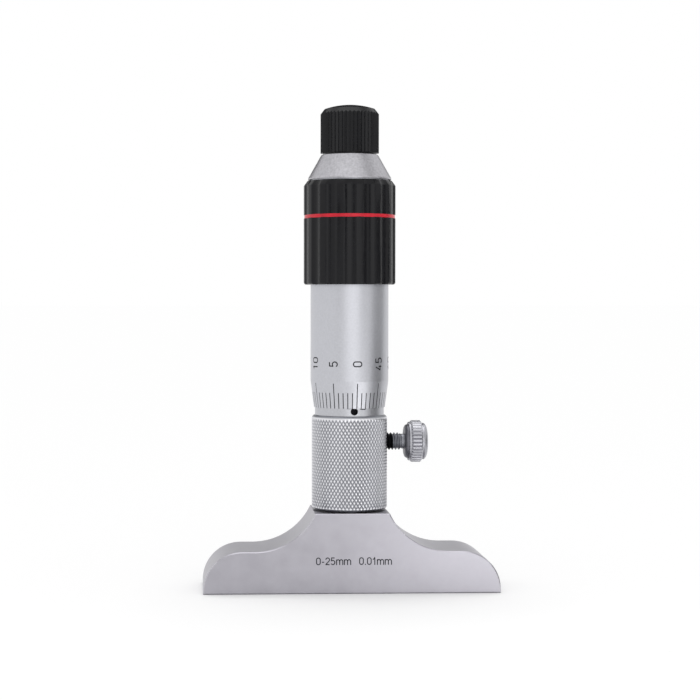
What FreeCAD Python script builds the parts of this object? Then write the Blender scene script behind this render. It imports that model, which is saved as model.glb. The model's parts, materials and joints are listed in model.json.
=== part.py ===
import FreeCAD, Part
import math
import os

# A depth micrometer head standing on its bridge-shaped measuring base. Millimetres and degrees.
# The origin is the middle of the base's measuring face, on the spindle's axis, with +Z up.
# The scales face the front, -Y, and the lock screw leaves the barrel along +X.
# Diameters are named for the finished turned pieces; a clearance is radial.

# --- Driving dimensions: base ---
BASE_LENGTH = 63.0
BASE_WIDTH = 17.0
BASE_HEIGHT = 16.9
WING_HEIGHT = 8.9
WING_END_FLAT = 0.7
WING_TOP_FLAT = 2.75
PLATEAU_LENGTH = 15.8
EDGE_BREAK = 0.2
ROD_LAND_LENGTH = 4.3
ROD_MOUTH_CHAMFER = 0.4

# --- Driving dimensions: measuring rod, which the spindle takes ---
ROD_DIAMETER = 4.0
ROD_HEAD_LEDGE = 0.55
ROD_HEAD_HEIGHT = 2.0

# --- Clearances ---
RUNNING_CLEARANCE = 0.05
THREAD_CLEARANCE = 0.03
SLEEVE_CLEARANCE = 0.02
ROD_CLEARANCE = 0.25
END_CLEARANCE = 0.3

# --- Driving dimensions: barrel ---
BARREL_STEP = 0.7
BARREL_LENGTH = 20.05
BARREL_FLOOR = 2.2
BARREL_GAP = 0.4
BARREL_TOP_ROUND = 0.8
BARREL_BOTTOM_CHAMFER = 0.3
SPIGOT_DIAMETER = 10.0
BARREL_BORE_RELIEF = 0.2

# --- Driving dimensions: inner sleeve with the split nut, and its adjusting nut ---
STEM_WALL = 2.18
GUIDE_ABOVE_LOCK = 1.75
NUT_LENGTH = 14.0
NUT_RELIEF = 0.2
SPLIT_WIDTH = 0.6
SPLIT_LENGTH = 10.0
SPLIT_COUNT = 3
NUT_TAPER_LENGTH = 5.4
NUT_TAPER_TOP_STEP = 0.63
NUT_TAPER_BOTTOM_STEP = 0.23
ADJUSTING_NUT_INSET = 0.3
ADJUSTING_NUT_HEIGHT = 4.2
NUT_NOTCH_WIDTH = 1.4
NUT_NOTCH_DEPTH = 0.8

# --- Driving dimensions: graduated sleeve ---
SLEEVE_WALL = 1.2
SLEEVE_SHOWING = 1.65
SLEEVE_MARGIN = 2.6
SPANNER_HOLE_DIAMETER = 1.57
SPANNER_HOLE_HEIGHT = 1.0
SPANNER_HOLE_ANGLE = 3.3

# --- Driving dimensions: scales ---
TRAVEL = 25.0
SCREW_PITCH = 0.5
THIMBLE_DIVISIONS = 50
LONG_MARK_EVERY = 5
ZERO_ANGLE = 7.1
MARK_WIDTH = 0.19
MARK_DEPTH = 0.06
THIMBLE_MARK_SHORT = 3.3
THIMBLE_MARK_LONG = 5.3
SLEEVE_MARK_SHORT = 0.9
SLEEVE_MARK_MIDDLE = 1.4
SLEEVE_MARK_LONG = 2.0

# --- Driving dimensions: spindle ---
SPINDLE_WALL = 1.25
SCREW_STEP = 0.5
SCREW_ABOVE_LOCK = 2.45
SCREW_OVERRUN = 2.0
SPINDLE_UNDERCUT = 0.4
SEAT_BOTTOM_STEP = 0.6
SEAT_TOP_STEP = 0.1
SPINDLE_CHAMFER = 0.3

# --- Driving dimensions: thimble and grip ---
THIMBLE_WALL = 0.9
THIMBLE_EDGE_WALL = 0.15
BEVEL_LENGTH = 5.7
THIMBLE_HEADROOM = 4.0
THIMBLE_WEB = 8.0
THIMBLE_RECESS_DEPTH = 3.6
THIMBLE_RECESS_WALL = 1.25
GRIP_WALL = 1.5
GRIP_LENGTH = 22.15
GRIP_BELOW_CONE = 0.25
GRIP_FLUTES = 15
GRIP_FLUTE_WIDTH = 2.8
GRIP_FLUTE_DEPTH = 0.4
GRIP_LAND_ANGLE = 8.1
GRIP_TOP_CHAMFER_WIDTH = 0.8
GRIP_TOP_CHAMFER_HEIGHT = 1.1
GRIP_BOTTOM_ROUND = 0.5
RING_DEPTH = 7.65
RING_HEIGHT = 0.72
RING_INSET = 0.15
RING_THICKNESS = 0.45

# --- Driving dimensions: cone nut on the spindle ---
CONE_OVERHANG = 0.55
CONE_TOP_INSET = 0.15
CONE_HEIGHT = 5.25
CONE_RIM = 0.3
CONE_RECESS_DEPTH = 1.8

# --- Driving dimensions: ratchet ---
CAP_DIAMETER = 12.5
CAP_GAP = 0.42
CAP_SKIRT_STEP = 0.6
CAP_SKIRT_CLEARANCE = 0.1
CAP_KNURL_LENGTH = 8.3
CAP_TEETH = 44
CAP_TOOTH_DEPTH = 0.28
CAP_CHAMFER_HEIGHT = 1.1
CAP_CHAMFER_WIDTH = 0.85
CAP_DOME_HEIGHT = 0.9
CAP_WALL = 1.25
CAP_WEB = 1.2
COVER_MARGIN = 0.7
COVER_SEAT_DEPTH = 0.8
COVER_LEDGE = 0.5
SCREW_ROOM = 1.6
RATCHET_STEM_FLANGE_STEP = 0.4
RATCHET_STEM_FLANGE_RISE = 0.7
POST_DIAMETER = 4.0
POST_ACROSS_FLATS = 3.2
RATCHET_TEETH = 24
RATCHET_TOOTH_HEIGHT = 0.4
RATCHET_TOOTH_WIDTH = 0.55
RATCHET_TOOTH_INNER = 5.8
CLUTCH_DISC_INSET = 0.4
CLUTCH_DISC_THICKNESS = 1.0
CAP_DISC_THICKNESS = 1.75
WASHER_DIAMETER = 6.4
WASHER_THICKNESS = 0.3
RATCHET_SCREW_DIAMETER = 2.5
RATCHET_SCREW_DEPTH = 4.5
RATCHET_SCREW_HEAD_DIAMETER = 4.6
RATCHET_SCREW_HEAD_HEIGHT = 0.9
DRIVER_SLOT_WIDTH = 0.6
DRIVER_SLOT_DEPTH = 0.45
SPRING_WIRE = 0.45
SPRING_COIL_DIAMETER = 6.0
SPRING_TURNS = 3

# --- Driving dimensions: lock screw and its pad ---
LOCK_BELOW_BARREL_TOP = 5.8
LOCK_THREAD_DIAMETER = 3.8
LOCK_NECK_STEP = 0.3
LOCK_NECK_LENGTH = 0.6
LOCK_THREAD_SHOWING = 3.1
KNOB_DIAMETER = 9.0
KNOB_SHOULDER_STEP = 0.85
KNOB_SHOULDER_LENGTH = 0.85
KNOB_RING_LENGTH = 0.4
KNOB_BAND_LENGTH = 2.4
KNOB_BAND_CHAMFER = 0.3
KNOB_GROOVE_LENGTH = 0.35
KNOB_GROOVE_DEPTH = 0.75
KNOB_DOME_STEP = 0.55
KNOB_DOME_LENGTH = 0.9
KNOB_DOME_RUN = 1.75
KNOB_TEETH = 34
KNOB_TOOTH_DEPTH = 0.3
LOCK_PAD_STEP = 0.4
LOCK_PAD_GAP = 0.15
LOCK_PAD_BACK = 0.12
LOCK_TIP_STEP = 1.05
LOCK_TIP_LENGTH = 1.5

# --- Diameters, each taken from the piece inside it ---
SPINDLE_BORE = ROD_DIAMETER + 2 * ROD_CLEARANCE
ROD_HEAD_DIAMETER = SPINDLE_BORE + 2 * ROD_HEAD_LEDGE
JOURNAL_DIAMETER = SPINDLE_BORE + 2 * SPINDLE_WALL
SCREW_DIAMETER = JOURNAL_DIAMETER + 2 * SCREW_STEP
SPINDLE_NECK_DIAMETER = SCREW_DIAMETER - 2 * SPINDLE_UNDERCUT
SEAT_BOTTOM_DIAMETER = SCREW_DIAMETER + 2 * SEAT_BOTTOM_STEP
SEAT_TOP_DIAMETER = SCREW_DIAMETER + 2 * SEAT_TOP_STEP
STEM_DIAMETER = SCREW_DIAMETER + 2 * STEM_WALL
NUT_TAPER_TOP_DIAMETER = STEM_DIAMETER - 2 * NUT_TAPER_TOP_STEP
NUT_TAPER_BOTTOM_DIAMETER = STEM_DIAMETER - 2 * NUT_TAPER_BOTTOM_STEP
SLEEVE_DIAMETER = STEM_DIAMETER + 2 * SLEEVE_CLEARANCE + 2 * SLEEVE_WALL
ADJUSTING_NUT_DIAMETER = SLEEVE_DIAMETER - 2 * ADJUSTING_NUT_INSET
BARREL_DIAMETER = SLEEVE_DIAMETER + 2 * BARREL_STEP
THIMBLE_BORE = SLEEVE_DIAMETER + 2 * RUNNING_CLEARANCE
THIMBLE_DIAMETER = THIMBLE_BORE + 2 * THIMBLE_WALL
THIMBLE_EDGE_DIAMETER = THIMBLE_BORE + 2 * THIMBLE_EDGE_WALL
GRIP_DIAMETER = THIMBLE_DIAMETER + 2 * GRIP_WALL
RING_DIAMETER = GRIP_DIAMETER - 2 * RING_INSET
CONE_BOTTOM_DIAMETER = THIMBLE_DIAMETER + 2 * CONE_OVERHANG
CONE_TOP_DIAMETER = CAP_DIAMETER - 2 * CONE_TOP_INSET
CAP_FACE_DIAMETER = CAP_DIAMETER - 2 * CAP_CHAMFER_WIDTH
CAP_CAVITY_DIAMETER = CAP_DIAMETER - 2 * CAP_WALL
CAP_SKIRT_DIAMETER = CAP_DIAMETER - 2 * CAP_SKIRT_STEP
COVER_DIAMETER = CAP_FACE_DIAMETER - 2 * COVER_MARGIN
CLUTCH_DISC_DIAMETER = CAP_CAVITY_DIAMETER - 2 * CLUTCH_DISC_INSET
RATCHET_STEM_FLANGE_DIAMETER = SCREW_DIAMETER + 2 * RATCHET_STEM_FLANGE_STEP
LOCK_NECK_DIAMETER = LOCK_THREAD_DIAMETER - 2 * LOCK_NECK_STEP
LOCK_PAD_DIAMETER = LOCK_THREAD_DIAMETER - 2 * LOCK_PAD_STEP
LOCK_TIP_DIAMETER = LOCK_THREAD_DIAMETER - 2 * LOCK_TIP_STEP
KNOB_SHOULDER_DIAMETER = KNOB_DIAMETER - 2 * KNOB_SHOULDER_STEP
KNOB_GROOVE_DIAMETER = KNOB_DIAMETER - 2 * KNOB_GROOVE_DEPTH
KNOB_DOME_DIAMETER = KNOB_DIAMETER - 2 * KNOB_DOME_STEP

# --- Heights along the axis, each taken from the piece below it ---
BARREL_BOTTOM = BASE_HEIGHT + BARREL_GAP
BARREL_TOP = BARREL_BOTTOM + BARREL_LENGTH
LOCK_HEIGHT = BARREL_TOP - LOCK_BELOW_BARREL_TOP
STEM_SEAT = BARREL_BOTTOM + BARREL_FLOOR
THIMBLE_EDGE = BARREL_TOP + SLEEVE_SHOWING
SLEEVE_TOP = THIMBLE_EDGE + TRAVEL + SLEEVE_MARGIN
STEM_TOP = SLEEVE_TOP + NUT_TAPER_LENGTH
NUT_BOTTOM = STEM_TOP - NUT_LENGTH
WEB_BOTTOM = STEM_TOP + THIMBLE_HEADROOM
WEB_TOP = WEB_BOTTOM + THIMBLE_WEB
THIMBLE_TOP = WEB_TOP + THIMBLE_RECESS_DEPTH
GRIP_TOP = THIMBLE_TOP - GRIP_BELOW_CONE
GRIP_BOTTOM = GRIP_TOP - GRIP_LENGTH
RING_MIDDLE = GRIP_TOP - RING_DEPTH
CONE_TOP = THIMBLE_TOP + CONE_HEIGHT
CONE_RECESS_FLOOR = CONE_TOP - CONE_RECESS_DEPTH
SPINDLE_BOTTOM = ROD_LAND_LENGTH + END_CLEARANCE
SPINDLE_TOP = CONE_RECESS_FLOOR - END_CLEARANCE
CAP_BOTTOM = CONE_TOP + CAP_GAP
CAP_SKIRT_BOTTOM = CONE_TOP + CAP_SKIRT_CLEARANCE
CAP_SHOULDER = CAP_BOTTOM + CAP_KNURL_LENGTH
CAP_EDGE = CAP_SHOULDER + CAP_CHAMFER_HEIGHT
CAP_TOP = CAP_EDGE + CAP_DOME_HEIGHT
COVER_SEAT = CAP_EDGE - COVER_SEAT_DEPTH
CAP_WEB_TOP = COVER_SEAT - SCREW_ROOM
CAP_WEB_BOTTOM = CAP_WEB_TOP - CAP_WEB
CAP_DISC_BOTTOM = CAP_WEB_BOTTOM - CAP_DISC_THICKNESS
CLUTCH_DISC_TOP = CAP_DISC_BOTTOM - RUNNING_CLEARANCE
CLUTCH_DISC_BOTTOM = CLUTCH_DISC_TOP - CLUTCH_DISC_THICKNESS
FLANGE_TOP = CAP_BOTTOM + RATCHET_STEM_FLANGE_RISE
POST_TOP = CAP_WEB_TOP + RUNNING_CLEARANCE
SCREW_HOLE_BOTTOM = POST_TOP - RATCHET_SCREW_DEPTH
WASHER_TOP = POST_TOP + WASHER_THICKNESS

# --- Distances from the axis along the lock screw ---
PAD_FRONT = JOURNAL_DIAMETER / 2 + LOCK_PAD_GAP
PAD_BACK = STEM_DIAMETER / 2 + LOCK_PAD_BACK
LOCK_END = PAD_BACK + RUNNING_CLEARANCE
LOCK_NECK_START = BARREL_DIAMETER / 2 + LOCK_THREAD_SHOWING
KNOB_START = LOCK_NECK_START + LOCK_NECK_LENGTH

BEYOND = 1.0  # how far a cutting tool runs past the face it opens

UP = FreeCAD.Vector(0, 0, 1)
ALONG_LOCK = FreeCAD.Vector(1, 0, 0)
TO_FRONT = FreeCAD.Vector(0, -1, 0)
ORIGIN = FreeCAD.Vector(0, 0, 0)


def turned(outline):
    """A solid turned about the Z axis from a closed outline of (radius, height) points."""
    points = [FreeCAD.Vector(radius, 0, height) for radius, height in outline]
    face = Part.Face(Part.makePolygon(points + points[:1]))
    return face.revolve(ORIGIN, UP, 360)


def ring(outer_diameter, inner_diameter, bottom, top):
    """A plain ring about the Z axis."""
    return turned([
        (inner_diameter / 2, bottom),
        (outer_diameter / 2, bottom),
        (outer_diameter / 2, top),
        (inner_diameter / 2, top),
    ])


def cylinder(diameter, bottom, top):
    """A plain cylinder on the Z axis."""
    return Part.makeCylinder(diameter / 2, top - bottom, FreeCAD.Vector(0, 0, bottom), UP)


def along_lock(diameter, start, end):
    """A cylinder on the lock screw's axis, between two distances from the spindle's axis."""
    base = FreeCAD.Vector(start, 0, LOCK_HEIGHT)
    return Part.makeCylinder(diameter / 2, end - start, base, ALONG_LOCK)


def block(width_x, width_y, bottom, top):
    """A block centred on the Z axis."""
    corner = FreeCAD.Vector(-width_x / 2, -width_y / 2, bottom)
    return Part.makeBox(width_x, width_y, top - bottom, corner)


def turned_to(shape, angle):
    """A copy of a shape turned about the Z axis."""
    copy = shape.copy()
    copy.rotate(ORIGIN, UP, angle)
    return copy


def repeated(shape, count):
    """Copies of a shape, evenly spaced about the Z axis, as one compound."""
    return Part.makeCompound([turned_to(shape, 360.0 * turn / count) for turn in range(count)])


def toothed_prism(diameter, depth, teeth, bottom, top):
    """A prism whose outline is a row of straight V teeth, as a straight knurl leaves it."""
    points = []
    for step in range(2 * teeth):
        radius = diameter / 2 - (depth if step % 2 else 0.0)
        angle = math.pi * step / teeth
        points.append(FreeCAD.Vector(radius * math.cos(angle), radius * math.sin(angle), bottom))
    face = Part.Face(Part.makePolygon(points + points[:1]))
    return face.extrude(UP * (top - bottom))


def front_mark(outline):
    """A cutter for one scale mark on the zero line, from its outline of (radius, height) points."""
    points = [FreeCAD.Vector(-MARK_WIDTH / 2, -radius, height) for radius, height in outline]
    face = Part.Face(Part.makePolygon(points + points[:1]))
    return turned_to(face.extrude(FreeCAD.Vector(MARK_WIDTH, 0, 0)), ZERO_ANGLE)


def base():
    """The measuring bridge: rounded wings, hollow shoulders and a flat top under the barrel."""
    half_length = BASE_LENGTH / 2
    half_plateau = PLATEAU_LENGTH / 2
    end_radius = WING_HEIGHT - WING_END_FLAT
    end_centre_x = half_length - end_radius
    shoulder_x = end_centre_x - WING_TOP_FLAT
    run = shoulder_x - half_plateau
    rise = BASE_HEIGHT - WING_HEIGHT
    shoulder_radius = (run ** 2 + rise ** 2) / (2 * rise)
    shoulder_turn = math.atan2(run, shoulder_radius - rise) / 2
    diagonal = math.sqrt(0.5)

    def place(x, z):
        return FreeCAD.Vector(x, BASE_WIDTH / 2, z)

    def half_outline(side):
        """The edges from the foot of one wing's end up to the plateau; side is 1 or -1."""
        foot = place(side * half_length, 0)
        end_low = place(side * half_length, WING_END_FLAT)
        end_mid = place(side * (end_centre_x + end_radius * diagonal),
                        WING_END_FLAT + end_radius * diagonal)
        end_high = place(side * end_centre_x, WING_HEIGHT)
        wing_inner = place(side * shoulder_x, WING_HEIGHT)
        shoulder_mid = place(side * (shoulder_x - shoulder_radius * math.sin(shoulder_turn)),
                             WING_HEIGHT + shoulder_radius * (1 - math.cos(shoulder_turn)))
        plateau = place(side * half_plateau, BASE_HEIGHT)
        return [
            Part.LineSegment(foot, end_low).toShape(),
            Part.Arc(end_low, end_mid, end_high).toShape(),
            Part.LineSegment(end_high, wing_inner).toShape(),
            Part.Arc(wing_inner, shoulder_mid, plateau).toShape(),
        ]

    def level(half, z):
        return Part.LineSegment(place(-half, z), place(half, z)).toShape()

    flats = [level(half_length, 0), level(half_plateau, BASE_HEIGHT)]
    edges = Part.__sortEdges__(flats + half_outline(1) + half_outline(-1))
    body = Part.Face(Part.Wire(edges)).extrude(FreeCAD.Vector(0, -BASE_WIDTH, 0))
    body = body.makeChamfer(EDGE_BREAK, outline_edges(body, BASE_WIDTH / 2))

    rod_bore = ROD_DIAMETER + 2 * RUNNING_CLEARANCE
    mouth = turned([
        (0, -BEYOND),
        (rod_bore / 2 + ROD_MOUTH_CHAMFER + BEYOND, -BEYOND),
        (rod_bore / 2, ROD_MOUTH_CHAMFER),
        (0, ROD_MOUTH_CHAMFER),
    ])
    body = body.cut(cylinder(rod_bore, -BEYOND, BASE_HEIGHT))
    body = body.cut(mouth)
    return body.cut(cylinder(SPIGOT_DIAMETER, ROD_LAND_LENGTH, BASE_HEIGHT + BEYOND))


def outline_edges(body, half_width):
    """The edges of an extruded body's front and back outlines."""
    def lies_on(edge, y):
        return all(abs(vertex.Y - y) < 1e-6 for vertex in edge.Vertexes)

    return [edge for edge in body.Edges if lies_on(edge, half_width) or lies_on(edge, -half_width)]


def barrel():
    """The body on the base: a knurled drum with a spigot below, bored for the inner sleeve."""
    radius = BARREL_DIAMETER / 2
    round_in = radius - BARREL_TOP_ROUND
    bore = JOURNAL_DIAMETER / 2 + BARREL_BORE_RELIEF
    round_mid = BARREL_TOP_ROUND * (1 - math.sqrt(0.5))
    start = FreeCAD.Vector(radius, 0, BARREL_TOP - BARREL_TOP_ROUND)
    middle = FreeCAD.Vector(radius - round_mid, 0, BARREL_TOP - round_mid)
    end = FreeCAD.Vector(round_in, 0, BARREL_TOP)
    outline = [
        (round_in, BARREL_TOP),
        (STEM_DIAMETER / 2, BARREL_TOP),
        (STEM_DIAMETER / 2, STEM_SEAT),
        (bore, STEM_SEAT),
        (bore, ROD_LAND_LENGTH),
        (SPIGOT_DIAMETER / 2, ROD_LAND_LENGTH),
        (SPIGOT_DIAMETER / 2, BARREL_BOTTOM),
        (radius - BARREL_BOTTOM_CHAMFER, BARREL_BOTTOM),
        (radius, BARREL_BOTTOM + BARREL_BOTTOM_CHAMFER),
        (radius, BARREL_TOP - BARREL_TOP_ROUND),
    ]
    points = [FreeCAD.Vector(r, 0, z) for r, z in outline]
    wire = Part.Wire([Part.makePolygon(points), Part.Arc(start, middle, end).toShape()])
    drum = Part.Face(wire).revolve(ORIGIN, UP, 360)
    lock_hole = LOCK_THREAD_DIAMETER + 2 * THREAD_CLEARANCE
    return drum.cut(along_lock(lock_hole, JOURNAL_DIAMETER / 2, radius + BEYOND))


def inner_sleeve():
    """The fixed stem inside the scale sleeve: the spindle's guide below, the split nut on top."""
    guide = JOURNAL_DIAMETER / 2 + THREAD_CLEARANCE
    nut = SCREW_DIAMETER / 2 + THREAD_CLEARANCE
    relief = SCREW_DIAMETER / 2 + NUT_RELIEF
    guide_top = LOCK_HEIGHT + GUIDE_ABOVE_LOCK
    stem = turned([
        (guide, STEM_SEAT),
        (STEM_DIAMETER / 2, STEM_SEAT),
        (STEM_DIAMETER / 2, SLEEVE_TOP),
        (NUT_TAPER_BOTTOM_DIAMETER / 2, SLEEVE_TOP),
        (NUT_TAPER_TOP_DIAMETER / 2, STEM_TOP),
        (nut, STEM_TOP),
        (nut, NUT_BOTTOM),
        (relief, NUT_BOTTOM),
        (relief, guide_top),
        (guide, guide_top),
    ])
    slot = Part.makeBox(
        STEM_DIAMETER, SPLIT_WIDTH, SPLIT_LENGTH + BEYOND,
        FreeCAD.Vector(0, -SPLIT_WIDTH / 2, STEM_TOP - SPLIT_LENGTH))
    stem = stem.cut(repeated(slot, SPLIT_COUNT))
    pad_hole = LOCK_PAD_DIAMETER + 2 * RUNNING_CLEARANCE
    return stem.cut(along_lock(pad_hole, 0, STEM_DIAMETER / 2 + BEYOND))


def adjusting_nut():
    """The notched ring nut on the split nut's taper, which closes the thread as it wears."""
    taper_run = (NUT_TAPER_BOTTOM_DIAMETER - NUT_TAPER_TOP_DIAMETER) / 2 / NUT_TAPER_LENGTH
    margin = (NUT_TAPER_LENGTH - ADJUSTING_NUT_HEIGHT) / 2
    bottom = SLEEVE_TOP + margin
    top = bottom + ADJUSTING_NUT_HEIGHT
    nut = turned([
        (NUT_TAPER_BOTTOM_DIAMETER / 2 - taper_run * (bottom - SLEEVE_TOP), bottom),
        (ADJUSTING_NUT_DIAMETER / 2, bottom),
        (ADJUSTING_NUT_DIAMETER / 2, top),
        (NUT_TAPER_BOTTOM_DIAMETER / 2 - taper_run * (top - SLEEVE_TOP), top),
    ])
    across = ADJUSTING_NUT_DIAMETER + BEYOND
    notch = block(NUT_NOTCH_WIDTH, across, top - NUT_NOTCH_DEPTH, top + BEYOND)
    return nut.cut(notch)


def graduated_sleeve():
    """The scale sleeve round the stem: an index line with a mark for each turn, and a spanner hole."""
    radius = SLEEVE_DIAMETER / 2
    sleeve = ring(SLEEVE_DIAMETER, STEM_DIAMETER + 2 * SLEEVE_CLEARANCE, BARREL_TOP, SLEEVE_TOP)

    def groove(bottom, top):
        return front_mark([
            (radius - MARK_DEPTH, bottom),
            (radius + BEYOND, bottom),
            (radius + BEYOND, top),
            (radius - MARK_DEPTH, top),
        ])

    cutters = [groove(THIMBLE_EDGE, THIMBLE_EDGE + TRAVEL)]
    half_width = MARK_WIDTH / 2
    skin = ring(2 * (radius + BEYOND), 2 * (radius - MARK_DEPTH), -half_width, half_width)
    for mark in range(int(round(TRAVEL / SCREW_PITCH)) + 1):
        if mark % (2 * LONG_MARK_EVERY) == 0:
            length = SLEEVE_MARK_LONG
        elif mark % 2:
            length = SLEEVE_MARK_SHORT
        else:
            length = SLEEVE_MARK_MIDDLE
        corner = FreeCAD.Vector(-length, -radius - BEYOND, -half_width)
        window = Part.makeBox(length, radius + BEYOND, MARK_WIDTH, corner)
        cutter = turned_to(window.common(skin), ZERO_ANGLE)
        cutter.translate(UP * (THIMBLE_EDGE + mark * SCREW_PITCH))
        cutters.append(cutter)
    sleeve = sleeve.cut(Part.makeCompound(cutters))

    centre = UP * (BARREL_TOP + SPANNER_HOLE_HEIGHT)
    hole = Part.makeCylinder(SPANNER_HOLE_DIAMETER / 2, radius + BEYOND, centre, TO_FRONT)
    return sleeve.cut(turned_to(hole, SPANNER_HOLE_ANGLE))


def spindle():
    """The hollow spindle: plain journal below, screw above it, taper seat and rod seat on top."""
    bore = SPINDLE_BORE / 2
    journal = JOURNAL_DIAMETER / 2
    screw = SCREW_DIAMETER / 2
    neck = SPINDLE_NECK_DIAMETER / 2
    return turned([
        (bore, SPINDLE_BOTTOM),
        (journal - SPINDLE_CHAMFER, SPINDLE_BOTTOM),
        (journal, SPINDLE_BOTTOM + SPINDLE_CHAMFER),
        (journal, LOCK_HEIGHT + SCREW_ABOVE_LOCK),
        (screw, LOCK_HEIGHT + SCREW_ABOVE_LOCK),
        (screw, STEM_TOP + SCREW_OVERRUN),
        (neck, STEM_TOP + SCREW_OVERRUN),
        (neck, WEB_BOTTOM),
        (SEAT_BOTTOM_DIAMETER / 2, WEB_BOTTOM),
        (SEAT_TOP_DIAMETER / 2, WEB_TOP),
        (screw, WEB_TOP),
        (screw, SPINDLE_TOP),
        (ROD_HEAD_DIAMETER / 2, SPINDLE_TOP),
        (ROD_HEAD_DIAMETER / 2, WEB_TOP),
        (bore, WEB_TOP),
    ])


def thimble():
    """The turning tube with the bevelled scale, closed on top by the web that grips the spindle."""
    radius = THIMBLE_DIAMETER / 2
    edge = THIMBLE_EDGE_DIAMETER / 2
    bore = THIMBLE_BORE / 2
    recess = radius - THIMBLE_RECESS_WALL
    bevel_top = THIMBLE_EDGE + BEVEL_LENGTH
    tube = turned([
        (bore, THIMBLE_EDGE),
        (edge, THIMBLE_EDGE),
        (radius, bevel_top),
        (radius, THIMBLE_TOP),
        (recess, THIMBLE_TOP),
        (recess, WEB_TOP),
        (SEAT_TOP_DIAMETER / 2 + THREAD_CLEARANCE, WEB_TOP),
        (SEAT_BOTTOM_DIAMETER / 2 + THREAD_CLEARANCE, WEB_BOTTOM),
        (bore, WEB_BOTTOM),
    ])

    def groove(length):
        slope = (radius - edge) / BEVEL_LENGTH
        bottom = THIMBLE_EDGE - MARK_WIDTH
        top = THIMBLE_EDGE + length
        return front_mark([
            (edge - MARK_DEPTH - slope * MARK_WIDTH, bottom),
            (radius + BEYOND, bottom),
            (radius + BEYOND, top),
            (edge - MARK_DEPTH + slope * length, top),
        ])

    cutters = []
    for mark in range(THIMBLE_DIVISIONS):
        length = THIMBLE_MARK_SHORT if mark % LONG_MARK_EVERY else THIMBLE_MARK_LONG
        cutters.append(turned_to(groove(length), 360.0 * mark / THIMBLE_DIVISIONS))
    return tube.cut(Part.makeCompound(cutters))


def grip_sleeve():
    """The fluted grip pressed on the thimble, with a chamfered top and a groove for its ring."""
    radius = GRIP_DIAMETER / 2
    groove = RING_DIAMETER / 2 - RING_THICKNESS
    ring_bottom = RING_MIDDLE - RING_HEIGHT / 2
    ring_top = RING_MIDDLE + RING_HEIGHT / 2
    round_mid = GRIP_BOTTOM_ROUND * (1 - math.sqrt(0.5))
    outline = [
        (radius, GRIP_BOTTOM + GRIP_BOTTOM_ROUND),
        (radius, ring_bottom),
        (groove, ring_bottom),
        (groove, ring_top),
        (radius, ring_top),
        (radius, GRIP_TOP - GRIP_TOP_CHAMFER_HEIGHT),
        (radius - GRIP_TOP_CHAMFER_WIDTH, GRIP_TOP),
        (THIMBLE_DIAMETER / 2, GRIP_TOP),
        (THIMBLE_DIAMETER / 2, GRIP_BOTTOM),
        (radius - GRIP_BOTTOM_ROUND, GRIP_BOTTOM),
    ]
    points = [FreeCAD.Vector(r, 0, z) for r, z in outline]
    middle = FreeCAD.Vector(radius - round_mid, 0, GRIP_BOTTOM + round_mid)
    wire = Part.Wire([Part.makePolygon(points), Part.Arc(points[-1], middle, points[0]).toShape()])
    sleeve = Part.Face(wire).revolve(ORIGIN, UP, 360)

    half_chord = GRIP_FLUTE_WIDTH / 2
    flute_radius = (half_chord ** 2 + GRIP_FLUTE_DEPTH ** 2) / (2 * GRIP_FLUTE_DEPTH)
    start = FreeCAD.Vector(0, -(radius - GRIP_FLUTE_DEPTH + flute_radius), GRIP_BOTTOM - BEYOND)
    flute = Part.makeCylinder(flute_radius, GRIP_LENGTH + 2 * BEYOND, start, UP)
    half_pitch = 180.0 / GRIP_FLUTES
    flute = turned_to(flute, GRIP_LAND_ANGLE + half_pitch)
    return sleeve.cut(repeated(flute, GRIP_FLUTES))


def grip_ring():
    """The coloured ring that lies in the grip's groove."""
    return ring(
        RING_DIAMETER, RING_DIAMETER - 2 * RING_THICKNESS,
        RING_MIDDLE - RING_HEIGHT / 2, RING_MIDDLE + RING_HEIGHT / 2)


def thimble_cone():
    """The conical nut on the spindle's end, which presses the thimble on the taper."""
    spigot = THIMBLE_DIAMETER / 2 - THIMBLE_RECESS_WALL - RUNNING_CLEARANCE
    thread = SCREW_DIAMETER / 2 + THREAD_CLEARANCE
    recess = RATCHET_STEM_FLANGE_DIAMETER / 2 + RUNNING_CLEARANCE
    return turned([
        (thread, WEB_TOP),
        (spigot, WEB_TOP),
        (spigot, THIMBLE_TOP),
        (CONE_BOTTOM_DIAMETER / 2, THIMBLE_TOP),
        (CONE_BOTTOM_DIAMETER / 2, THIMBLE_TOP + CONE_RIM),
        (CONE_TOP_DIAMETER / 2, CONE_TOP),
        (recess, CONE_TOP),
        (recess, CONE_RECESS_FLOOR),
        (thread, CONE_RECESS_FLOOR),
    ])


def ratchet_stem():
    """The plug that screws into the spindle over the rod's head and carries the ratchet on a post."""
    plug_diameter = ROD_HEAD_DIAMETER - 2 * THREAD_CLEARANCE
    plug = cylinder(plug_diameter, WEB_TOP + ROD_HEAD_HEIGHT, CONE_RECESS_FLOOR)
    flange = cylinder(RATCHET_STEM_FLANGE_DIAMETER, CONE_RECESS_FLOOR, FLANGE_TOP)
    flats_top = CLUTCH_DISC_TOP + RATCHET_TOOTH_HEIGHT
    flats = block(POST_DIAMETER, POST_ACROSS_FLATS, FLANGE_TOP, flats_top)
    round_part = cylinder(POST_DIAMETER, flats_top, POST_TOP)
    post = cylinder(POST_DIAMETER, FLANGE_TOP, POST_TOP).common(flats.fuse(round_part))
    stem = plug.fuse(flange).fuse(post).removeSplitter()
    return stem.cut(cylinder(RATCHET_SCREW_DIAMETER, SCREW_HOLE_BOTTOM, POST_TOP + BEYOND))


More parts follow.
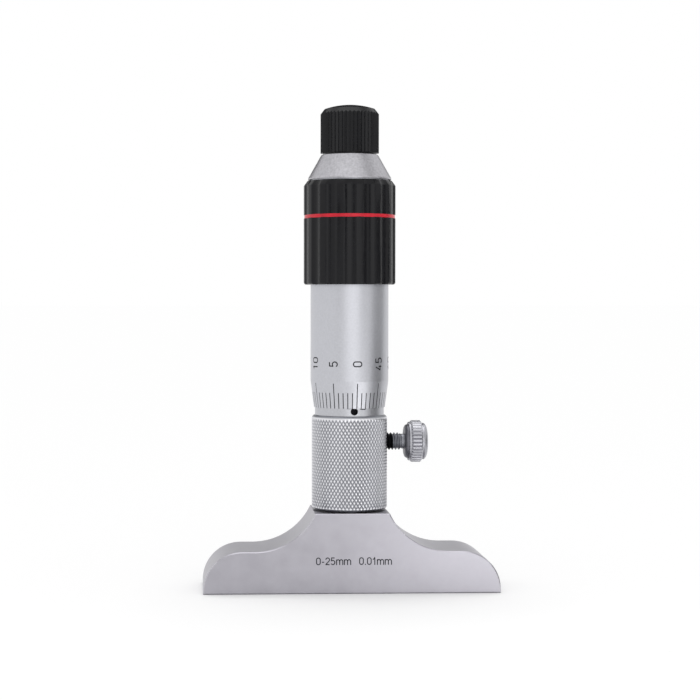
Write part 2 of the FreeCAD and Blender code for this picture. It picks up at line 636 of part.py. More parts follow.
def ratchet_tooth(extra):
    """One sawtooth on the clutch disc, upright on one flank; extra widens it to cut its notch."""
    inner = RATCHET_TOOTH_INNER / 2 - extra
    outer = CLUTCH_DISC_DIAMETER / 2 + extra
    half = RATCHET_TOOTH_WIDTH / 2 + extra
    bottom = CLUTCH_DISC_TOP
    top = CLUTCH_DISC_TOP + RATCHET_TOOTH_HEIGHT + extra
    points = [
        FreeCAD.Vector(inner, -half, bottom),
        FreeCAD.Vector(inner, half, bottom),
        FreeCAD.Vector(inner, -half, top),
    ]
    face = Part.Face(Part.makePolygon(points + points[:1]))
    return face.extrude(FreeCAD.Vector(outer - inner, 0, 0))


def clutch_disc():
    """The lower ratchet disc, keyed to the post's flats, with a ring of sawteeth on top."""
    disc = cylinder(CLUTCH_DISC_DIAMETER, CLUTCH_DISC_BOTTOM, CLUTCH_DISC_TOP)
    teeth = repeated(ratchet_tooth(0.0), RATCHET_TEETH)
    teeth = teeth.common(cylinder(CLUTCH_DISC_DIAMETER, CLUTCH_DISC_TOP, CAP_WEB_BOTTOM))
    round_hole = POST_DIAMETER + 2 * THREAD_CLEARANCE
    flat_hole = POST_ACROSS_FLATS + 2 * THREAD_CLEARANCE
    hole = cylinder(round_hole, CLUTCH_DISC_BOTTOM, CLUTCH_DISC_TOP)
    hole = hole.common(block(round_hole, flat_hole, CLUTCH_DISC_BOTTOM, CLUTCH_DISC_TOP))
    return disc.fuse(teeth.Solids).removeSplitter().cut(hole)


def cap_disc():
    """The upper ratchet disc, pressed in the cap, notched to mesh with the clutch disc's teeth."""
    hole = POST_DIAMETER + 2 * RUNNING_CLEARANCE
    disc = ring(CAP_CAVITY_DIAMETER, hole, CAP_DISC_BOTTOM, CAP_WEB_BOTTOM)
    return disc.cut(repeated(ratchet_tooth(RUNNING_CLEARANCE), RATCHET_TEETH))


def ratchet_spring():
    """The coil spring between the stem's flange and the clutch disc."""
    start = FLANGE_TOP + SPRING_WIRE / 2 + RUNNING_CLEARANCE
    end = CLUTCH_DISC_BOTTOM - SPRING_WIRE / 2 - RUNNING_CLEARANCE
    helix = Part.makeHelix((end - start) / SPRING_TURNS, end - start, SPRING_COIL_DIAMETER / 2)
    helix.translate(FreeCAD.Vector(0, 0, start))
    wire_start = FreeCAD.Vector(SPRING_COIL_DIAMETER / 2, 0, start)
    section = Part.Wire(Part.makeCircle(SPRING_WIRE / 2, wire_start, FreeCAD.Vector(0, 1, 0)))
    return Part.Wire(helix.Edges).makePipeShell([section], True, True)


def ratchet_washer():
    """The washer that the screw clamps on the post, just clear of the cap's web."""
    return ring(WASHER_DIAMETER, RATCHET_SCREW_DIAMETER, POST_TOP, WASHER_TOP)


def ratchet_screw():
    """The slotted screw that holds the cap and its washer on the post."""
    head_top = WASHER_TOP + RATCHET_SCREW_HEAD_HEIGHT
    slot_bottom = head_top - DRIVER_SLOT_DEPTH
    slot_length = RATCHET_SCREW_HEAD_DIAMETER + BEYOND
    shank = cylinder(RATCHET_SCREW_DIAMETER, SCREW_HOLE_BOTTOM + END_CLEARANCE, WASHER_TOP)
    head = cylinder(RATCHET_SCREW_HEAD_DIAMETER, WASHER_TOP, head_top)
    slot = block(slot_length, DRIVER_SLOT_WIDTH, slot_bottom, head_top + BEYOND)
    return shank.fuse(head).removeSplitter().cut(slot)


def dome():
    """The ball whose cap is the shared domed top of the ratchet cap and its cover."""
    face = CAP_FACE_DIAMETER / 2
    radius = (face ** 2 + CAP_DOME_HEIGHT ** 2) / (2 * CAP_DOME_HEIGHT)
    return Part.makeSphere(radius, FreeCAD.Vector(0, 0, CAP_TOP - radius))


def ratchet_cap():
    """The knurled finger cap: a skirt and a cavity for the ratchet below, a cover seat above."""
    radius = CAP_DIAMETER / 2
    ledge = COVER_DIAMETER / 2 - COVER_LEDGE
    body = turned([
        (CAP_CAVITY_DIAMETER / 2, CAP_BOTTOM),
        (radius, CAP_BOTTOM),
        (radius, CAP_SHOULDER),
        (CAP_FACE_DIAMETER / 2, CAP_EDGE),
        (CAP_FACE_DIAMETER / 2, CAP_TOP),
        (COVER_DIAMETER / 2, CAP_TOP),
        (COVER_DIAMETER / 2, COVER_SEAT),
        (ledge, COVER_SEAT),
        (ledge, CAP_WEB_TOP),
        (POST_DIAMETER / 2 + RUNNING_CLEARANCE, CAP_WEB_TOP),
        (POST_DIAMETER / 2 + RUNNING_CLEARANCE, CAP_WEB_BOTTOM),
        (CAP_CAVITY_DIAMETER / 2, CAP_WEB_BOTTOM),
    ])
    knurl = toothed_prism(CAP_DIAMETER, CAP_TOOTH_DEPTH, CAP_TEETH, CAP_BOTTOM, CAP_TOP)
    skirt = ring(CAP_SKIRT_DIAMETER, CAP_CAVITY_DIAMETER, CAP_SKIRT_BOTTOM, CAP_BOTTOM + CAP_WALL)
    return body.common(knurl).common(dome()).fuse(skirt)


def cap_cover():
    """The domed disc pressed in the top of the cap."""
    return cylinder(COVER_DIAMETER, COVER_SEAT, CAP_TOP).common(dome())


def lock_screw():
    """The clamping screw: tip, thread, neck and a knurled knob with a domed end."""
    thread = LOCK_THREAD_DIAMETER / 2
    neck = LOCK_NECK_DIAMETER / 2
    tip = LOCK_TIP_DIAMETER / 2
    shoulder = KNOB_SHOULDER_DIAMETER / 2
    knob = KNOB_DIAMETER / 2
    ring_start = KNOB_START + KNOB_SHOULDER_LENGTH
    band_start = ring_start + KNOB_RING_LENGTH
    band_end = band_start + KNOB_BAND_LENGTH
    groove_end = band_end + KNOB_GROOVE_LENGTH
    dome_end = groove_end + KNOB_DOME_LENGTH
    dome_edge = KNOB_DOME_DIAMETER / 2
    dome_bevel = KNOB_DOME_LENGTH / 3
    shoulder_round = KNOB_SHOULDER_LENGTH / 2
    screw = turned([
        (0, LOCK_END - LOCK_TIP_LENGTH),
        (tip, LOCK_END - LOCK_TIP_LENGTH),
        (tip, LOCK_END),
        (thread, LOCK_END),
        (thread, LOCK_NECK_START),
        (neck, LOCK_NECK_START),
        (neck, KNOB_START),
        (shoulder - shoulder_round, KNOB_START),
        (shoulder, KNOB_START + shoulder_round),
        (shoulder, ring_start),
        (knob - KNOB_RING_LENGTH, ring_start),
        (knob - KNOB_TOOTH_DEPTH, band_start),
        (KNOB_GROOVE_DIAMETER / 2, band_end),
        (KNOB_GROOVE_DIAMETER / 2, groove_end),
        (dome_edge, groove_end),
        (dome_edge - KNOB_DOME_RUN / 2, dome_end - dome_bevel),
        (dome_edge - KNOB_DOME_RUN, dome_end),
        (0, dome_end),
    ])
    band = turned([
        (0, band_start),
        (knob - KNOB_BAND_CHAMFER, band_start),
        (knob, band_start + KNOB_BAND_CHAMFER),
        (knob, band_end - KNOB_BAND_CHAMFER),
        (knob - KNOB_BAND_CHAMFER, band_end),
        (0, band_end),
    ])
    knurl = toothed_prism(KNOB_DIAMETER, KNOB_TOOTH_DEPTH, KNOB_TEETH, band_start, band_end)
    screw = screw.fuse(band.common(knurl)).removeSplitter()
    screw.rotate(ORIGIN, FreeCAD.Vector(0, 1, 0), 90)
    screw.translate(FreeCAD.Vector(0, 0, LOCK_HEIGHT))
    return screw


def lock_pad():
    """The pad pressed on the spindle: hollowed to its round in front, socketed for the screw's tip."""
    pad = along_lock(LOCK_PAD_DIAMETER, PAD_FRONT - LOCK_PAD_DIAMETER, PAD_BACK)
    hollow_bottom = LOCK_HEIGHT - LOCK_PAD_DIAMETER
    hollow = cylinder(2 * PAD_FRONT, hollow_bottom, LOCK_HEIGHT + LOCK_PAD_DIAMETER)
    socket = along_lock(
        LOCK_TIP_DIAMETER + 2 * THREAD_CLEARANCE,
        LOCK_END - LOCK_TIP_LENGTH - RUNNING_CLEARANCE, PAD_BACK + BEYOND)
    pieces = pad.cut(hollow).cut(socket).Solids
    return max(pieces, key=lambda piece: piece.CenterOfMass.x)


SUB_PARTS = {
    "base": base,
    "barrel": barrel,
    "inner_sleeve": inner_sleeve,
    "adjusting_nut": adjusting_nut,
    "graduated_sleeve": graduated_sleeve,
    "spindle": spindle,
    "thimble": thimble,
    "grip_sleeve": grip_sleeve,
    "grip_ring": grip_ring,
    "thimble_cone": thimble_cone,
    "ratchet_stem": ratchet_stem,
    "clutch_disc": clutch_disc,
    "cap_disc": cap_disc,
    "ratchet_spring": ratchet_spring,
    "ratchet_washer": ratchet_washer,
    "ratchet_screw": ratchet_screw,
    "ratchet_cap": ratchet_cap,
    "cap_cover": cap_cover,
    "lock_screw": lock_screw,
    "lock_pad": lock_pad,
}

os.makedirs("parts", exist_ok=True)
for name, build in SUB_PARTS.items():
    solid = build()
    solid = solid.Solids[0] if len(solid.Solids) == 1 else solid
    solid.exportStep("parts/" + name + ".step")
    state = "valid" if solid.isValid() else "INVALID"
    print(name, len(solid.Solids), "solid", round(solid.Volume, 2), "mm3", state)
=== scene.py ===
import json
import math

import bpy
import numpy as np
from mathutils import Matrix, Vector


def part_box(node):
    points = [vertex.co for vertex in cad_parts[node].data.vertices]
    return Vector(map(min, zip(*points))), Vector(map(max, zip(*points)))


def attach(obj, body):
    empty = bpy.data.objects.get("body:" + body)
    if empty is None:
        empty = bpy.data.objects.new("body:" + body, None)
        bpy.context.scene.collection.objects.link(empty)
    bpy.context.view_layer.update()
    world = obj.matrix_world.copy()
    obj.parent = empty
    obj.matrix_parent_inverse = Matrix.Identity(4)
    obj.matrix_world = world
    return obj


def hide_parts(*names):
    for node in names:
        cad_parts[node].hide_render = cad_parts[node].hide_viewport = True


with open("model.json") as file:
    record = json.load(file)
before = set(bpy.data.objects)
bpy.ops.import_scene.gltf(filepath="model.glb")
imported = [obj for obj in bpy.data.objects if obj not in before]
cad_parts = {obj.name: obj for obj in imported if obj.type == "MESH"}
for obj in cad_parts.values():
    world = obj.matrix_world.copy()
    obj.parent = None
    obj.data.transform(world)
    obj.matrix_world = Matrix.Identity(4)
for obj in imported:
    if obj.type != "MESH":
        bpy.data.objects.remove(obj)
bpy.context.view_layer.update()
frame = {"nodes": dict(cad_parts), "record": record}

# The looks of a depth micrometer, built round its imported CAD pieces. Lengths below are in
# millimetres and turned into metres where a mesh is made; angles are in degrees from the front.
MM = 0.001

# --- Sizes taken from the CAD pieces ---


def radius_of(node):
    low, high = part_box(node)
    return (high.y - low.y) / 2 / MM


def heights_of(node):
    low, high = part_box(node)
    return low.z / MM, high.z / MM


BARREL_R = radius_of("barrel")
SPIGOT_BOTTOM, BARREL_TOP = heights_of("barrel")
THIMBLE_R = radius_of("thimble")
THIMBLE_EDGE = heights_of("thimble")[0]
SLEEVE_R = radius_of("graduated_sleeve")
STEM_R = radius_of("inner_sleeve")
STEM_SEAT = heights_of("inner_sleeve")[0]
GRIP_R = radius_of("grip_sleeve")
GRIP_BOTTOM, GRIP_TOP = heights_of("grip_sleeve")
RING_BOTTOM, RING_TOP = heights_of("grip_ring")
BASE_TOP = heights_of("base")[1]
BASE_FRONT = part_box("base")[0].y / MM
SCREW_LOW, SCREW_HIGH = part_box("lock_screw")
SCREW_END = SCREW_HIGH.x / MM
SCREW_TIP = SCREW_LOW.x / MM
KNOB_R = (SCREW_HIGH.z - SCREW_LOW.z) / 2 / MM
SCREW_Z = (SCREW_HIGH.z + SCREW_LOW.z) / 2 / MM

# --- Barrel ---
BARREL_BASE_GAP = 0.4
BARREL_BOTTOM = BASE_TOP + BARREL_BASE_GAP
BARREL_ROUND = 0.8
BARREL_CHAMFER = 0.3
JOURNAL_BORE_R = 3.7
SPIGOT_R = 5.0
KNURL_COUNT = 64
KNURL_HEIGHT = 1.285
KNURL_STEPS = 8
KNURL_DEPTH = 0.17
KNURL_HALF_GROOVE = 0.39
LOCK_HOLE_R = 1.93

# --- Base: which of its chamfer faces carry a painted highlight, by their normals and place ---
EDGE_STEEPNESS = 0.45
EDGE_SLANT_LOW = 0.3
EDGE_SLANT_HIGH = 0.95
EDGE_REACH = 0.8

# --- Scales ---
ZERO_ANGLE = 7.1
DIVISIONS = 50
MARK_INK_WIDTH = 0.184
INK_SUNK = 0.015
INK_PROUD = 0.006
THIMBLE_EDGE_R = 7.6
BEVEL_LENGTH = 5.7
SHORT_MARK = 3.3
LONG_MARK = 5.3
NUMERAL_Z = 48.4
NUMERAL_H = 2.05
NUMERAL_W = 1.25
NUMERAL_STROKE = 0.25
NUMERAL_PITCH = 1.5
SLEEVE_NUMERAL_TURN = 11.0
SLEEVE_NUMERAL_LIFT = 0.27
SLEEVE_NUMERAL_H = 1.7
SLEEVE_NUMERAL_W = 1.05
SLEEVE_NUMERAL_STROKE = 0.2
SLEEVE_NUMERAL_PITCH = 1.2
TEXT = "0-25mm  0.01mm"
TEXT_HEIGHT = 1.62
TEXT_STROKE = 0.22
TEXT_GAP = 0.25
TEXT_MIDDLE = 0.3
TEXT_BOTTOM = 6.1
TRAVEL = 25.0
PITCH = 0.5
SLEEVE_SHORT = 0.9
SLEEVE_MIDDLE = 1.4
SLEEVE_LONG = 2.0

# --- Grip ---
FLUTES = 15
FLUTE_WIDTH = 2.8
FLUTE_DEPTH = 0.4
LAND_ANGLE = 8.1
LAND_ROUND = 0.07
GRIP_CHAMFER_WIDTH = 0.8
GRIP_CHAMFER_HEIGHT = 1.1
GRIP_ROUND = 0.5

# --- Lock screw ---
THREAD_R = 1.88
THREAD_DEPTH = 0.38
THREAD_PITCH = 0.7
THREAD_START = 6.35
# Thread turns nearer the barrel than this are near-black: a painted shadow.
THREAD_END = 11.2
THREAD_PAINTED_SHADOW_END = 9.25
KNOB_START = 11.8
KNOB_TEETH = 34


def to_mesh(name, points, faces, body, material_names, face_materials=None, sharp=32.0):
    """A mesh object from points in millimetres, smooth but for edges sharper than an angle."""
    mesh = bpy.data.meshes.new(name)
    mesh.from_pydata([tuple(c * MM for c in p) for p in points], [], [tuple(f) for f in faces])
    mesh.update()
    obj = bpy.data.objects.new(name, mesh)
    bpy.context.scene.collection.objects.link(obj)
    for material in material_names:
        mesh.materials.append(MATERIALS[material])
    if face_materials is not None:
        mesh.polygons.foreach_set("material_index", face_materials)
    smooth(mesh, sharp)
    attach(obj, body)
    return obj


def smooth(mesh, angle):
    mesh.shade_smooth()
    mesh.set_sharp_from_angle(angle=math.radians(angle))


def grid_faces(rows, columns, wrap_rows=False, diagonal=None):
    """Faces between rows of points that each go once round; diagonal picks each cell's split."""
    faces = []
    for row in range(rows if wrap_rows else rows - 1):
        below = row * columns
        above = ((row + 1) % rows) * columns
        for column in range(columns):
            right = (column + 1) % columns
            a, b, c, d = below + column, below + right, above + right, above + column
            if diagonal is None:
                faces.append((a, b, c, d))
            elif diagonal[row][column]:
                faces += [(a, b, d), (b, c, d)]
            else:
                faces += [(a, b, c), (a, c, d)]
    return faces


def turned_grid(profile, columns, shape):
    """Points of a turned surface, row by row; shape gives each row's radii from (radius, height)."""
    angles = np.arange(columns) * 2 * math.pi / columns
    points = []
    for radius, height in profile:
        radii = shape(radius, height, angles)
        xs, ys = radii * np.sin(angles), -radii * np.cos(angles)
        points += list(zip(xs, ys, np.full(columns, height)))
    return points


def flip(faces):
    return [tuple(reversed(f)) for f in faces]


def arc_points(centre, radius, start, end, steps):
    """Points on an arc in (radius, height), from one angle to another in degrees."""
    out = []
    for step in range(steps + 1):
        angle = math.radians(start + (end - start) * step / steps)
        out.append((centre[0] + radius * math.cos(angle), centre[1] + radius * math.sin(angle)))
    return out


# --- Materials ---
MATERIALS = {}


def new_material(name):
    material = bpy.data.materials.new(name)
    material.use_nodes = True
    nodes = material.node_tree.nodes
    shader = nodes["Principled BSDF"]
    MATERIALS[name] = material
    return material.node_tree, shader


def own_noise(tree, scale, detail=3.0):
    """Noise over the object's own coordinates."""
    coords = tree.nodes.new("ShaderNodeTexCoord")
    noise = tree.nodes.new("ShaderNodeTexNoise")
    noise.inputs["Scale"].default_value = scale
    noise.inputs["Detail"].default_value = detail
    tree.links.new(coords.outputs["Object"], noise.inputs["Vector"])
    return noise.outputs["Fac"]


def spread(tree, source, low, high):
    """A noise value spread between two plain values."""
    ranged = tree.nodes.new("ShaderNodeMapRange")
    ranged.inputs["From Min"].default_value = 0.3
    ranged.inputs["From Max"].default_value = 0.7
    ranged.inputs["To Min"].default_value = low
    ranged.inputs["To Max"].default_value = high
    tree.links.new(source, ranged.inputs["Value"])
    return ranged.outputs["Result"]


def tint(tree, source, dark, light):
    """A noise value turned into a colour between two near shades."""
    ramp = tree.nodes.new("ShaderNodeValToRGB")
    ramp.color_ramp.elements[0].position = 0.3
    ramp.color_ramp.elements[0].color = (*dark, 1)
    ramp.color_ramp.elements[1].position = 0.7
    ramp.color_ramp.elements[1].color = (*light, 1)
    tree.links.new(source, ramp.inputs["Fac"])
    return ramp.outputs["Color"]


def bumped(tree, shader, source, strength, distance):
    bump = tree.nodes.new("ShaderNodeBump")
    bump.inputs["Strength"].default_value = strength
    bump.inputs["Distance"].default_value = distance
    tree.links.new(source, bump.inputs["Height"])
    tree.links.new(bump.outputs["Normal"], shader.inputs["Normal"])


def steel(name, color, roughness, vary=0.03, grain=0.04, scale=1500.0, detail=3.0):
    """Satin or ground metal: a fine grain in its roughness, colour and surface."""
    tree, shader = new_material(name)
    shader.inputs["Metallic"].default_value = 1.0
    noise = own_noise(tree, scale, detail)
    dark = tuple(c * (1 - vary) for c in color)
    light = tuple(min(1.0, c * (1 + vary)) for c in color)
    tree.links.new(tint(tree, noise, dark, light), shader.inputs["Base Color"])
    tree.links.new(spread(tree, noise, roughness - 0.04, roughness + 0.04), shader.inputs["Roughness"])
    bumped(tree, shader, noise, grain, 0.00002)


def polymer(name, color, roughness, vary=0.15, grain=0.08, scale=900.0, specular=0.5):
    """Moulded or anodised black: an even colour with a faint mottle and soft sheen."""
    tree, shader = new_material(name)
    shader.inputs["Specular IOR Level"].default_value = specular
    noise = own_noise(tree, scale)
    dark = tuple(c * (1 - vary) for c in color)
    light = tuple(c * (1 + vary) for c in color)
    tree.links.new(tint(tree, noise, dark, light), shader.inputs["Base Color"])
    tree.links.new(spread(tree, noise, roughness - 0.03, roughness + 0.03), shader.inputs["Roughness"])
    bumped(tree, shader, noise, grain, 0.00001)


def knurled_steel(name, groove_painted_shade, crest_painted_highlight, low, high, roughness):
    """Metal with painted shade in its grooves and a painted highlight on its crests, by distance from
    the Z axis.
    """
    tree, shader = new_material(name)
    shader.inputs["Metallic"].default_value = 1.0
    shader.inputs["Roughness"].default_value = roughness
    coords = tree.nodes.new("ShaderNodeTexCoord")
    flatten = tree.nodes.new("ShaderNodeVectorMath")
    flatten.operation = "MULTIPLY"
    flatten.inputs[1].default_value = (1, 1, 0)
    reach = tree.nodes.new("ShaderNodeVectorMath")
    reach.operation = "LENGTH"
    ranged = tree.nodes.new("ShaderNodeMapRange")
    ranged.inputs["From Min"].default_value = low * MM
    ranged.inputs["From Max"].default_value = high * MM
    ramp = tree.nodes.new("ShaderNodeValToRGB")
    ramp.color_ramp.elements[0].color = (*groove_painted_shade, 1)
    ramp.color_ramp.elements[1].color = (*crest_painted_highlight, 1)
    tree.links.new(coords.outputs["Object"], flatten.inputs[0])
    tree.links.new(flatten.outputs["Vector"], reach.inputs[0])
    tree.links.new(reach.outputs["Value"], ranged.inputs["Value"])
    tree.links.new(ranged.outputs["Result"], ramp.inputs["Fac"])
    tree.links.new(ramp.outputs["Color"], shader.inputs["Base Color"])


steel("base_steel", (0.39, 0.38, 0.415), 0.40, vary=0.06, grain=0.06, scale=260.0, detail=8.0)
# Brighter, smoother steel for some base chamfers: a painted highlight along those edges.
steel("edge_highlight_steel", (0.52, 0.515, 0.55), 0.26)
# The barrel's knurl: painted shade in the grooves and a painted highlight on the crests.
knurled_steel("barrel_steel", (0.27, 0.275, 0.30), (0.82, 0.82, 0.85),
              BARREL_R - 0.85 * KNURL_DEPTH, BARREL_R - 0.05 * KNURL_DEPTH, 0.36)
# On the lock screw this near-black is a painted shadow on the thread beside the barrel.
steel("black_steel", (0.012, 0.012, 0.014), 0.5)
steel("hidden_steel", (0.52, 0.52, 0.54), 0.35)
steel("sleeve_chrome", (0.50, 0.505, 0.535), 0.36, vary=0.05, grain=0.10, scale=2600.0)
steel("thimble_chrome", (0.53, 0.535, 0.57), 0.38, vary=0.05, grain=0.10, scale=2600.0)
steel("cone_chrome", (0.45, 0.445, 0.47), 0.38, vary=0.14, grain=0.35, scale=2200.0)
steel("screw_steel", (0.42, 0.42, 0.45), 0.38)
steel("thread_steel", (0.26, 0.265, 0.29), 0.42)
steel("pad_brass", (0.62, 0.46, 0.20), 0.35)
polymer("grip_black", (0.005, 0.005, 0.0065), 0.22, grain=0.04, specular=0.22)
polymer("cap_black", (0.006, 0.006, 0.0075), 0.28, grain=0.02, specular=0.22)
polymer("ring_red", (0.60, 0.013, 0.030), 0.32, specular=0.3)
polymer("scale_ink", (0.010, 0.010, 0.012), 0.6, specular=0.2)
polymer("text_ink", (0.035, 0.035, 0.042), 0.6, specular=0.2)
steel("shadow_steel", (0.17, 0.17, 0.19), 0.45)

for piece in frame["record"]["subparts"]:
    node = frame["nodes"][piece["node"]]
    node.data.materials.clear()
    node.data.materials.append(MATERIALS[piece["material_slot"]])

# Outer chamfers of the base that face sideways take the brighter steel: a painted highlight along the
# outline.
base = frame["nodes"]["base"]
base.data.materials.append(MATERIALS["edge_highlight_steel"])
for face in base.data.polygons:
    steep = abs(face.normal.x) > EDGE_STEEPNESS
    slanted = EDGE_SLANT_LOW < abs(face.normal.y) < EDGE_SLANT_HIGH
    outer = abs(face.center.y) > EDGE_REACH * abs(BASE_FRONT) * MM
    if steep and slanted and outer:
        face.material_index = 1


# --- The barrel: a drum with a true diamond knurl ---

def groove(distance):
    """Depth of one family of grooves, from the distance to its centre line in pitches."""
    near = np.abs((distance + 0.5) % 1.0 - 0.5)
    return np.clip(1.0 - near / KNURL_HALF_GROOVE, 0.0, 1.0)


def knurled_barrel():
    columns = KNURL_COUNT * KNURL_STEPS
    step = KNURL_HEIGHT / KNURL_STEPS
    low = BARREL_BOTTOM + BARREL_CHAMFER
    high = BARREL_TOP - BARREL_ROUND
    count = int((high - low) / step)
    start = high - count * step
    across = np.arange(columns) / KNURL_STEPS

    def depth(row):
        along = row / KNURL_STEPS
        return KNURL_DEPTH * np.maximum(groove(across + along), groove(across - along))

    round_out = arc_points((BARREL_R - BARREL_ROUND, high), BARREL_ROUND, 0, 90, 8)
    inner = [
        (STEM_R, BARREL_TOP), (STEM_R, STEM_SEAT), (JOURNAL_BORE_R, STEM_SEAT),
        (JOURNAL_BORE_R, SPIGOT_BOTTOM), (SPIGOT_R, SPIGOT_BOTTOM), (SPIGOT_R, BARREL_BOTTOM),
    ]
    angles = np.arange(columns) * 2 * math.pi / columns
    points, cell_rows = [], []

    def add(radii, height):
        points.extend(zip(radii * np.sin(angles), -radii * np.cos(angles), np.full(columns, height)))

    flat = np.ones(columns)
    for radius, height in inner:
        add(flat * radius, height)
        cell_rows.append(None)
    add(flat * (BARREL_R - BARREL_CHAMFER), BARREL_BOTTOM)
    cell_rows.append(None)
    add(BARREL_R - 0.6 * depth(-1), low)
    cell_rows.append(None)
    for row in range(count + 1):
        fade = 1.0 if row < count else 0.5
        add(BARREL_R - fade * depth(row), start + row * step)
        cell_rows.append(row if row < count else None)
    for radius, height in round_out[1:]:
        add(flat * radius, height)
        cell_rows.append(None)
    rows = len(cell_rows)
    diagonal = []
    centres = (np.arange(columns) + 0.5) / KNURL_STEPS
    for row in cell_rows:
        if row is None:
            diagonal.append(np.zeros(columns, bool))
        else:
            along = (row + 0.5) / KNURL_STEPS
            diagonal.append(groove(centres + along) > groove(centres - along))
    faces = grid_faces(rows, columns, wrap_rows=True, diagonal=diagonal)
    return to_mesh("barrel_knurled", points, faces, "frame", ["barrel_steel"], sharp=24.0)


def drill(obj, radius, start, end, height):
    """A round hole along X cut through a piece."""
    bpy.ops.mesh.primitive_cylinder_add(
        vertices=64, radius=radius * MM, depth=(end - start) * MM,
        location=((start + end) / 2 * MM, 0, height * MM), rotation=(0, math.pi / 2, 0))
    cutter = bpy.context.object
    cut = obj.modifiers.new("hole", "BOOLEAN")
    cut.operation = "DIFFERENCE"
    cut.solver = "EXACT"
    cut.object = cutter
    bpy.context.view_layer.update()
    graph = bpy.context.evaluated_depsgraph_get()
    result = bpy.data.meshes.new_from_object(obj.evaluated_get(graph))
    obj.modifiers.clear()
    old = obj.data
    obj.data = result
    bpy.data.meshes.remove(old)
    bpy.data.objects.remove(cutter)
    smooth(obj.data, 24.0)


barrel = knurled_barrel()
drill(barrel, LOCK_HOLE_R, JOURNAL_BORE_R + 1.0, BARREL_R + 1.0, SCREW_Z)
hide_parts("barrel")


# --- The grip: flutes with softened lands, a ring groove and chamfered top ---

def smaller(a, b, blend):
    """The smaller of two lengths, rounded where they meet."""
    mix = np.clip(0.5 + 0.5 * (b - a) / blend, 0.0, 1.0)
    return b * (1 - mix) + a * mix - blend * mix * (1 - mix)


def fluted_grip():
    per_flute = 28
    columns = FLUTES * per_flute
    flute_r = ((FLUTE_WIDTH / 2) ** 2 + FLUTE_DEPTH ** 2) / (2 * FLUTE_DEPTH)
    flute_centre = GRIP_R - FLUTE_DEPTH + flute_r
    pitch = 2 * math.pi / FLUTES
    land = math.radians(LAND_ANGLE)

    def shape(radius, height, angles):
        if radius < THIMBLE_R + 0.05:
            return np.full(len(angles), radius)
        off = (angles - land) % pitch - pitch / 2
        inside = np.maximum(flute_r ** 2 - (flute_centre * np.sin(off)) ** 2, 0.0)
        flute = flute_centre * np.cos(off) - np.sqrt(inside)
        flute = np.where(inside > 0, flute, GRIP_R + 1.0)
        return smaller(np.full(len(angles), radius), flute, LAND_ROUND)

    chamfer_start = GRIP_TOP - GRIP_CHAMFER_HEIGHT
    groove_r = GRIP_R - 0.15 - 0.45
    edge = 0.06
    profile = [(THIMBLE_R, GRIP_TOP), (THIMBLE_R, GRIP_BOTTOM)]
    profile += arc_points((GRIP_R - GRIP_ROUND, GRIP_BOTTOM + GRIP_ROUND), GRIP_ROUND, -90, 0, 8)
    profile += [
        (GRIP_R, RING_BOTTOM - edge), (GRIP_R - edge, RING_BOTTOM), (groove_r, RING_BOTTOM),
        (groove_r, RING_TOP), (GRIP_R - edge, RING_TOP), (GRIP_R, RING_TOP + edge),
        (GRIP_R, chamfer_start - edge), (GRIP_R - edge / 3, chamfer_start + edge / 3),
        (GRIP_R - GRIP_CHAMFER_WIDTH + edge / 3, GRIP_TOP - edge / 3),
        (GRIP_R - GRIP_CHAMFER_WIDTH - edge, GRIP_TOP),
    ]
    points = turned_grid(profile, columns, shape)
    faces = grid_faces(len(profile), columns, wrap_rows=True)
    return to_mesh("grip_fluted", points, faces, "thimble", ["grip_black"], sharp=40.0)


grip = fluted_grip()
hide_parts("grip_sleeve")


# --- The lock screw: cut thread, necked shank and knurled knob ---

